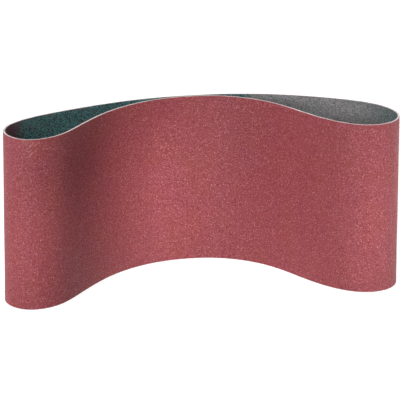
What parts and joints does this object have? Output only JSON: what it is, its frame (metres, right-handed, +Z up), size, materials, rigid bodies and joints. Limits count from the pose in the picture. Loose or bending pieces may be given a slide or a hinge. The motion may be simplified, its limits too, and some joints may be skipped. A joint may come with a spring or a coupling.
{
  "type": "sanding belt",
  "caption": "Endless cloth sanding belt, abrasive side out, standing on its lower edge in a pinched loop with two rounded ends.",
  "frame": {"origin": "centre of the bounding box's base: the belt stands on its lower edge at z = 0", "axes": "+X along the loop's longest extent, +Z up the belt's width, -Y towards the front, where the long run is pushed in"},
  "size_m": [0.2256, 0.1128, 0.1],
  "materials": {
    "coated_cloth": "coarse red-brown grain outside, dark speckled cloth inside, pale cut edges"
  },
  "bodies": {
    "root": {"sanding_belt": "coated_cloth"}
  },
  "joints": []
}
